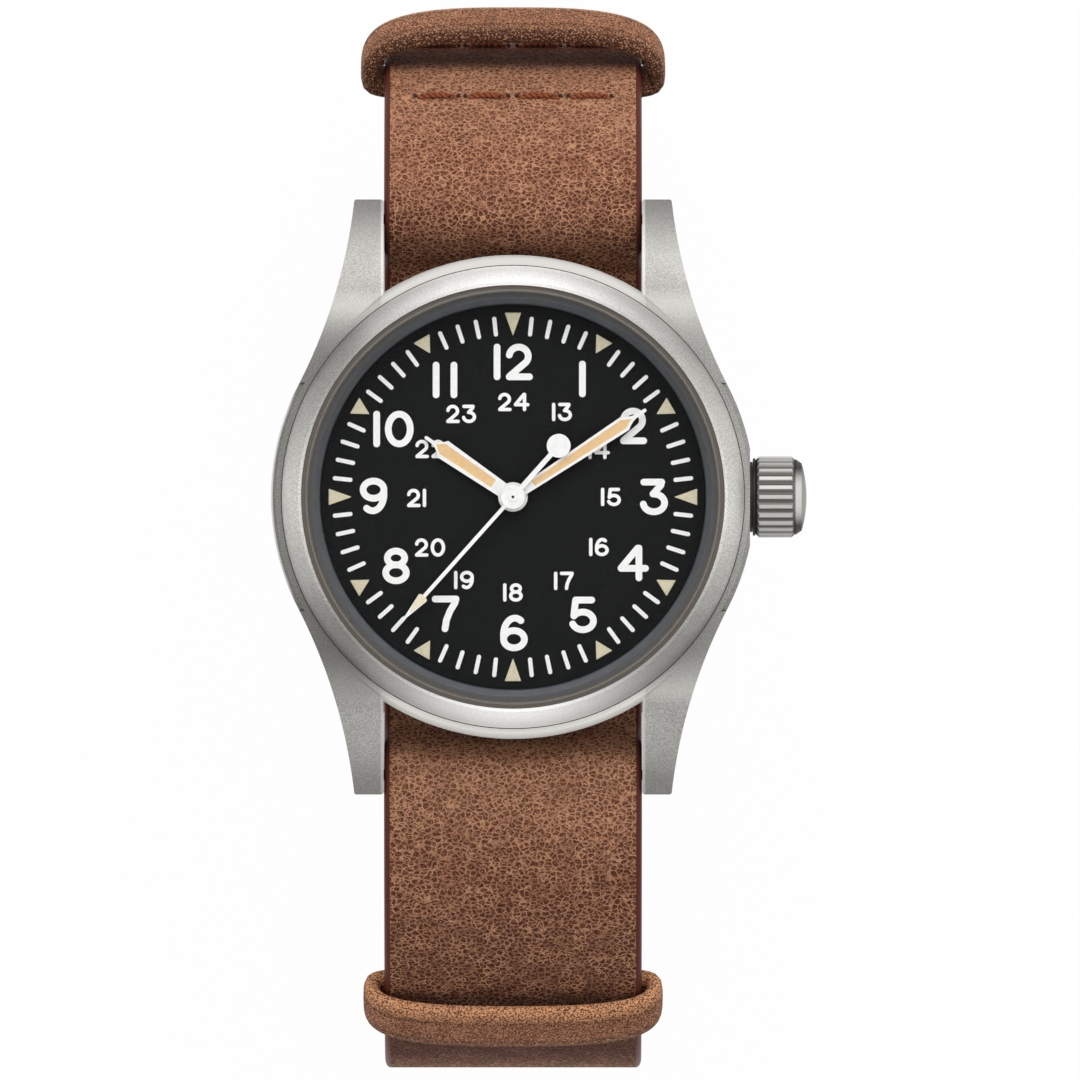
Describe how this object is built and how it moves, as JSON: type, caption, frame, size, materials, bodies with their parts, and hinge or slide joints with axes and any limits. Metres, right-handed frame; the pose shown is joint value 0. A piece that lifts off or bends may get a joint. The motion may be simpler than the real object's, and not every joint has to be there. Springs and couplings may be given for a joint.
{
  "type": "wristwatch",
  "caption": "Hand-wound field watch: round steel case with lugs, bezel and crown, black 24-hour dial, three hands, and a pass-through leather strap closed on its buckle.",
  "frame": {"origin": "on the dial's axis, at the outer face of the strap's lowest ply, on which the closed watch stands", "axes": "+Z out of the dial, +Y towards twelve o'clock, +X towards the crown at three"},
  "size_m": [0.0422, 0.0844, 0.0564],
  "materials": {
    "case_steel": "bead-blasted matte",
    "crystal": "clear and polished",
    "gasket": "smooth",
    "flange_grey": "satin",
    "dial_black": "matte",
    "holder_plastic": "matte",
    "hand_white": "satin",
    "movement_steel": "polished",
    "movement_brass": "fine grained",
    "spring_blue": "blued",
    "jewel_red": "polished",
    "strap_leather": "waxed, with a fine cracked grain",
    "keeper_leather": "waxed, stippled grain",
    "buckle_steel": "bead-blasted matte",
    "bar_steel": "turned"
  },
  "bodies": {
    "root": {"case_middle": "case_steel", "bezel_ring": "case_steel", "crystal": "crystal", "crystal_gasket": "gasket", "flange_ring": "flange_grey", "case_back": "case_steel", "case_back_gasket": "gasket", "movement_holder": "holder_plastic", "dial": "dial_black", "crown_tube": "case_steel", "main_plate": "movement_brass", "barrel_bridge": "movement_brass", "train_bridge": "movement_brass", "pallet_bridge": "movement_brass", "balance_cock": "movement_brass", "jewels": "jewel_red", "bridge_screws": "movement_steel", "hairspring": "spring_blue", "strap_long": "strap_leather", "strap_short": "strap_leather", "upper_keeper": "keeper_leather", "lower_keeper": "keeper_leather", "buckle_pin": "buckle_steel", "spring_bar_12": "bar_steel", "spring_bar_6": "bar_steel"},
    "seconds": {"fourth_wheel": "movement_brass", "seconds_hand": "hand_white"},
    "third": {"third_wheel": "movement_brass"},
    "great": {"great_wheel": "movement_brass"},
    "barrel": {"barrel_drum": "movement_brass", "barrel_cover": "movement_brass", "mainspring": "movement_steel"},
    "minutes": {"cannon_pinion": "movement_steel", "minute_hand": "hand_white"},
    "escape": {"escape_wheel": "movement_brass"},
    "minute_work": {"minute_wheel": "movement_brass"},
    "hours": {"hour_wheel": "movement_brass", "hour_hand": "hand_white"},
    "setting": {"setting_wheel": "movement_steel"},
    "pallet": {"pallet_fork": "movement_steel"},
    "balance": {"balance_wheel": "movement_brass"},
    "winding": {"winding_pinion": "movement_steel"},
    "crown": {"crown": "case_steel", "winding_stem": "movement_steel", "crown_gasket": "gasket"},
    "sliding": {"sliding_pinion": "movement_steel"},
    "lever": {"setting_lever": "movement_steel"},
    "yoke": {"yoke": "movement_steel"},
    "crown_wheel": {"crown_wheel": "movement_steel"},
    "ratchet": {"ratchet_wheel": "movement_steel", "barrel_arbor": "movement_steel", "ratchet_screw": "movement_steel"},
    "click": {"click": "movement_steel"},
    "frame": {"buckle_frame": "buckle_steel"},
    "tongue": {"buckle_tongue": "buckle_steel"},
    "tail_loop": {"tail_keeper": "keeper_leather"},
    "tip_12_right": {"bar_tip_12_right": "bar_steel"},
    "tip_12_left": {"bar_tip_12_left": "bar_steel"},
    "tip_6_right": {"bar_tip_6_right": "bar_steel"},
    "tip_6_left": {"bar_tip_6_left": "bar_steel"}
  },
  "joints": [
    {"name": "seconds_turn", "type": "hinge", "parent": "root", "child": "seconds", "pos_m": [0, 0, 0.047], "axis": [0, 0, -1], "continuous": true},
    {"name": "third_turn", "type": "hinge", "parent": "root", "child": "third", "pos_m": [-0.00335, 0.00219, 0.047], "axis": [0, 0, -1], "continuous": true},
    {"name": "great_turn", "type": "hinge", "parent": "root", "child": "great", "pos_m": [-0.00052, 0.00508, 0.047], "axis": [0, 0, -1], "continuous": true},
    {"name": "barrel_turn", "type": "hinge", "parent": "root", "child": "barrel", "pos_m": [0.00459, 0.00606, 0.047], "axis": [0, 0, -1], "continuous": true, "deforming": ["mainspring"]},
    {"name": "minutes_turn", "type": "hinge", "parent": "root", "child": "minutes", "pos_m": [0, 0, 0.047], "axis": [0, 0, -1], "continuous": true},
    {"name": "escape_turn", "type": "hinge", "parent": "root", "child": "escape", "pos_m": [-0.00102, -0.0028, 0.047], "axis": [0, 0, -1], "continuous": true},
    {"name": "minute_work_turn", "type": "hinge", "parent": "root", "child": "minute_work", "pos_m": [0.00344, -0.00241, 0.047], "axis": [0, 0, -1], "continuous": true},
    {"name": "hours_turn", "type": "hinge", "parent": "root", "child": "hours", "pos_m": [0, 0, 0.047], "axis": [0, 0, -1], "continuous": true},
    {"name": "setting_wheel_turn", "type": "hinge", "parent": "root", "child": "setting", "pos_m": [0.00709, 0, 0.047], "axis": [0, 0, -1], "continuous": true},
    {"name": "pallet_rock", "type": "hinge", "parent": "root", "child": "pallet", "pos_m": [0.00031, -0.0051, 0.047], "axis": [0, 0, 1], "range_deg": [-5, 5]},
    {"name": "balance_swing", "type": "hinge", "parent": "root", "child": "balance", "pos_m": [0.00181, -0.00769, 0.047], "axis": [0, 0, 1], "range_deg": [-270, 270], "stiffness_Nm_per_rad": 0.0000001, "deforming": ["hairspring"]},
    {"name": "crown_turn", "type": "hinge", "parent": "root", "child": "winding", "pos_m": [0.012, 0, 0.05095], "axis": [1, 0, 0], "continuous": true},
    {"name": "crown_pull", "type": "slide", "parent": "winding", "child": "crown", "axis": [1, 0, 0], "range_m": [0, 0.0008]},
    {"name": "sliding_pinion_shift", "type": "slide", "parent": "winding", "child": "sliding", "axis": [-1, 0, 0], "range_m": [0, 0.0005]},
    {"name": "setting_lever_turn", "type": "hinge", "parent": "root", "child": "lever", "pos_m": [0.0119, 0.0023, 0.05186], "axis": [0, 0, 1], "range_deg": [0, 20.01]},
    {"name": "yoke_turn", "type": "hinge", "parent": "root", "child": "yoke", "pos_m": [0.0096, 0.0036, 0.05186], "axis": [0, 0, -1], "range_deg": [0, 9.44]},
    {"name": "crown_wheel_turn", "type": "hinge", "parent": "root", "child": "crown_wheel", "pos_m": [0.0084, 0, 0.0489], "axis": [0, 0, 1], "continuous": true},
    {"name": "ratchet_turn", "type": "hinge", "parent": "root", "child": "ratchet", "pos_m": [0.00459, 0.00606, 0.0489], "axis": [0, 0, 1], "continuous": true},
    {"name": "click_lift", "type": "hinge", "parent": "root", "child": "click", "pos_m": [-0.0007, 0.0094, 0.0489], "axis": [0, 0, 1], "range_deg": [0, 8]},
    {"name": "buckle_frame_turn", "type": "hinge", "parent": "root", "child": "frame", "pos_m": [0, -0.0034, 0.0037], "axis": [1, 0, 0], "range_deg": [0, 2]},
    {"name": "buckle_tongue_turn", "type": "hinge", "parent": "frame", "child": "tongue", "pos_m": [0, -0.0034, 0.0037], "axis": [1, 0, 0], "range_deg": [0, 2.5]},
    {"name": "tail_keeper_shift", "type": "hinge", "parent": "root", "child": "tail_loop", "pos_m": [0, 0.01264, 0.0265], "axis": [1, 0, 0], "range_deg": [-4, 4]},
    {"name": "bar_tip_12_right_in", "type": "slide", "parent": "root", "child": "tip_12_right", "axis": [-1, 0, 0], "range_m": [0, 0.0008], "stiffness_N_per_m": 100},
    {"name": "bar_tip_12_left_in", "type": "slide", "parent": "root", "child": "tip_12_left", "axis": [1, 0, 0], "range_m": [0, 0.0008], "stiffness_N_per_m": 100},
    {"name": "bar_tip_6_right_in", "type": "slide", "parent": "root", "child": "tip_6_right", "axis": [-1, 0, 0], "range_m": [0, 0.0008], "stiffness_N_per_m": 100},
    {"name": "bar_tip_6_left_in", "type": "slide", "parent": "root", "child": "tip_6_left", "axis": [1, 0, 0], "range_m": [0, 0.0008], "stiffness_N_per_m": 100}
  ],
  "couplings": [
    {"joint": "third_turn", "follows": "seconds_turn", "ratio": -0.13333},
    {"joint": "great_turn", "follows": "seconds_turn", "ratio": 0.016667},
    {"joint": "barrel_turn", "follows": "seconds_turn", "ratio": -0.002381},
    {"joint": "minutes_turn", "follows": "seconds_turn", "ratio": 0.016667},
    {"joint": "escape_turn", "follows": "seconds_turn", "ratio": -12},
    {"joint": "minute_work_turn", "follows": "seconds_turn", "ratio": -0.0055556},
    {"joint": "hours_turn", "follows": "seconds_turn", "ratio": 0.0013889},
    {"joint": "setting_wheel_turn", "follows": "seconds_turn", "ratio": 0.014286},
    {"joint": "sliding_pinion_shift", "follows": "crown_pull", "ratio": 0.625},
    {"joint": "setting_lever_turn", "follows": "crown_pull", "rad_per_m": 432.08},
    {"joint": "yoke_turn", "follows": "crown_pull", "rad_per_m": 201.61},
    {"joint": "crown_wheel_turn", "follows": "crown_turn", "ratio": 0.58824},
    {"joint": "ratchet_turn", "follows": "crown_turn", "ratio": -0.27778}
  ]
}
